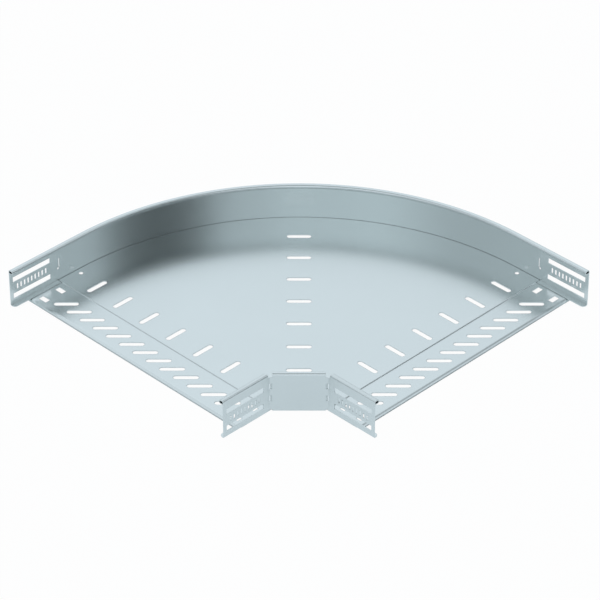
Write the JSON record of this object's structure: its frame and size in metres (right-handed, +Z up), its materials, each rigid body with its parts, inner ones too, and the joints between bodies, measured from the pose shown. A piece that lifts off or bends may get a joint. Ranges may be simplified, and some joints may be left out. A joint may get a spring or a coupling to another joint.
{
  "type": "cable tray bend",
  "caption": "Horizontal right-angle bend of a perforated cable tray: slotted base, curved outer rail, folded inner rail, and perforated push-on connectors at both mouths.",
  "frame": {"origin": "where the centre lines of the two runs cross, on the underside of the base plate", "axes": "+X out of one mouth, +Y out of the other mouth, +Z up out of the open side of the tray"},
  "size_m": [0.526, 0.526, 0.0593],
  "materials": {
    "galvanised_sheet": "galvanised, smooth, semi-gloss"
  },
  "bodies": {
    "root": {"base_plate": "galvanised_sheet", "outer_side_rail": "galvanised_sheet", "inner_side_rail": "galvanised_sheet"}
  },
  "joints": []
}
